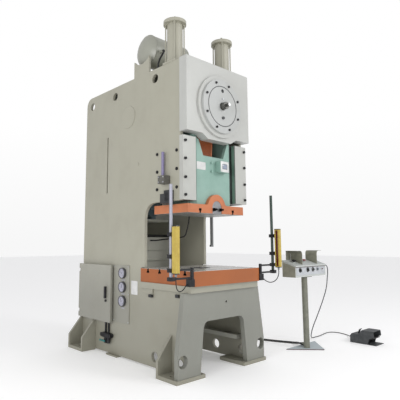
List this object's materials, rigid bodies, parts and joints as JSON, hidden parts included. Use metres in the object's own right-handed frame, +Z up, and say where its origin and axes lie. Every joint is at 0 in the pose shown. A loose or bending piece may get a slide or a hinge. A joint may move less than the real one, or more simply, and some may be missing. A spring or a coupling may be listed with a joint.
{
  "type": "mechanical stamping press",
  "caption": "Open-front C-frame mechanical press with T-slotted bolster, guided slide, balance cylinders, switch cabinet, light curtain, two-hand console and foot switch.",
  "frame": {"origin": "centre of the foundation-bolt rectangle at floor level", "axes": "+Z up, the press faces -Y, +X to the right of someone facing the same way as +Y"},
  "size_m": [2.8327, 2.14, 3.152],
  "materials": {
    "frame_paint": "semi-gloss",
    "front_paint": "semi-gloss",
    "slide_paint": "semi-gloss",
    "rod_paint": "semi-gloss",
    "machined": "machined",
    "dark_steel": "oiled",
    "iron": "matte",
    "bronze": "machined",
    "cylinder": "satin",
    "tank_paint": "semi-gloss",
    "motor_paint": "semi-gloss",
    "belt": "matte",
    "cable": "matte",
    "hose": "matte",
    "curtain": "satin",
    "console_paint": "semi-gloss",
    "console_post": "semi-gloss",
    "black_metal": "satin",
    "black_plastic": "matte",
    "red_plastic": "gloss",
    "teal_plastic": "gloss",
    "label_white": "satin"
  },
  "bodies": {
    "frame": {"side_plate_left": "frame_paint", "side_plate_right": "frame_paint", "head_front_plate": "front_paint", "crown_plate": "frame_paint", "head_rear_plate": "frame_paint", "inner_plates": "frame_paint", "bed_table": "front_paint", "bed_front_plate": "front_paint", "feet": "frame_paint", "bolster": "machined", "gibs": "iron", "gib_covers": "front_paint", "cap_screws": "dark_steel", "bearing_flange": "front_paint", "bearing_bushes": "bronze", "cylinder_pads": "frame_paint", "cylinder_heads": "frame_paint", "cylinder_barrels": "frame_paint", "air_tank": "tank_paint", "tank_saddles": "frame_paint", "tank_hose": "hose", "motor": "motor_paint", "drive_belts": "belt", "cabinet_box": "frame_paint", "gauges": "black_plastic", "air_filter": "black_metal", "curtain_stands": "black_metal", "light_curtains": "curtain", "curtain_cable_left": "cable", "curtain_cable_right": "cable", "side_fittings": "black_metal", "throat_pipes": "hose", "pedestal_stand": "console_post", "pedestal_box": "console_paint", "palm_shrouds": "console_paint", "pedal_housing": "black_metal", "control_cable_a": "cable", "control_cable_b": "cable", "pedal_cable": "cable"},
    "crankshaft": {"crankshaft": "machined"},
    "flywheel": {"flywheel": "iron"},
    "motor_pulley": {"motor_pulley": "iron"},
    "connecting_rod": {"conrod": "rod_paint"},
    "slide": {"slide": "slide_paint", "slide_foot": "rod_paint", "adjusting_screw": "machined", "shank_clamp": "dark_steel", "piston_rods": "machined", "slide_scale": "label_white"},
    "door": {"cabinet_door": "frame_paint"},
    "latch": {"door_latch": "black_plastic"},
    "valve_lever": {"valve_handle": "teal_plastic"},
    "palm_left": {"palm_button_left": "black_plastic"},
    "palm_right": {"palm_button_right": "black_plastic"},
    "stop": {"stop_button": "red_plastic"},
    "mode_knob": {"mode_switch": "black_plastic"},
    "power_knob": {"power_switch": "black_plastic"},
    "start": {"start_button": "black_plastic"},
    "reset": {"reset_button": "black_plastic"},
    "treadle": {"foot_pedal": "black_metal"}
  },
  "joints": [
    {"name": "slide_stroke", "type": "slide", "parent": "frame", "child": "connecting_rod", "axis": [0, 0, 1], "range_m": [-0.16, 0]},
    {"name": "die_height", "type": "slide", "parent": "connecting_rod", "child": "slide", "axis": [0, 0, 1], "range_m": [-0.08, 0]},
    {"name": "crank_turn", "type": "hinge", "parent": "frame", "child": "crankshaft", "pos_m": [0, 0, 2.29], "axis": [0, 1, 0], "range_deg": [0, 180]},
    {"name": "flywheel_spin", "type": "hinge", "parent": "frame", "child": "flywheel", "pos_m": [0, 0.63, 2.29], "axis": [0, 1, 0], "continuous": true},
    {"name": "pulley_spin", "type": "hinge", "parent": "frame", "child": "motor_pulley", "pos_m": [0, 0.63, 1.465], "axis": [0, 1, 0], "continuous": true},
    {"name": "door_hinge", "type": "hinge", "parent": "frame", "child": "door", "pos_m": [-0.433, 0.834, 0.58], "axis": [0, 0, -1], "range_deg": [0, 110]},
    {"name": "latch_turn", "type": "hinge", "parent": "door", "child": "latch", "pos_m": [-0.445, 0.32, 0.59], "axis": [-1, 0, 0], "range_deg": [0, 90]},
    {"name": "valve_turn", "type": "hinge", "parent": "frame", "child": "valve_lever", "pos_m": [-0.42, 0.348, 0.124], "axis": [-1, 0, 0], "range_deg": [0, 90]},
    {"name": "palm_left_press", "type": "slide", "parent": "frame", "child": "palm_left", "axis": [0, 0.3011, -0.9536], "range_m": [0, 0.006], "stiffness_N_per_m": 800, "springref_m": -0.003},
    {"name": "palm_right_press", "type": "slide", "parent": "frame", "child": "palm_right", "axis": [0, 0.3011, -0.9536], "range_m": [0, 0.006], "stiffness_N_per_m": 800, "springref_m": -0.003},
    {"name": "stop_press", "type": "slide", "parent": "frame", "child": "stop", "axis": [0, 0.3011, -0.9536], "range_m": [0, 0.005]},
    {"name": "mode_turn", "type": "hinge", "parent": "frame", "child": "mode_knob", "pos_m": [1.032, -0.925, 0.795], "axis": [0, 1, 0], "range_deg": [-45, 45]},
    {"name": "power_turn", "type": "hinge", "parent": "frame", "child": "power_knob", "pos_m": [1.172, -0.925, 0.795], "axis": [0, 1, 0], "range_deg": [-45, 45]},
    {"name": "start_press", "type": "slide", "parent": "frame", "child": "start", "axis": [0, 1, 0], "range_m": [0, 0.003], "stiffness_N_per_m": 500, "springref_m": -0.001},
    {"name": "reset_press", "type": "slide", "parent": "frame", "child": "reset", "axis": [0, 1, 0], "range_m": [0, 0.003], "stiffness_N_per_m": 500, "springref_m": -0.001},
    {"name": "treadle_press", "type": "hinge", "parent": "frame", "child": "treadle", "pos_m": [1.915, -1.122, 0.04], "axis": [1, 0, 0], "range_deg": [0, 8], "stiffness_Nm_per_rad": 20, "springref_deg": -11.46}
  ],
  "couplings": [
    {"joint": "crank_turn", "follows": "slide_stroke", "rad_per_m": -19.63},
    {"joint": "pulley_spin", "follows": "flywheel_spin", "ratio": 5.4}
  ]
}
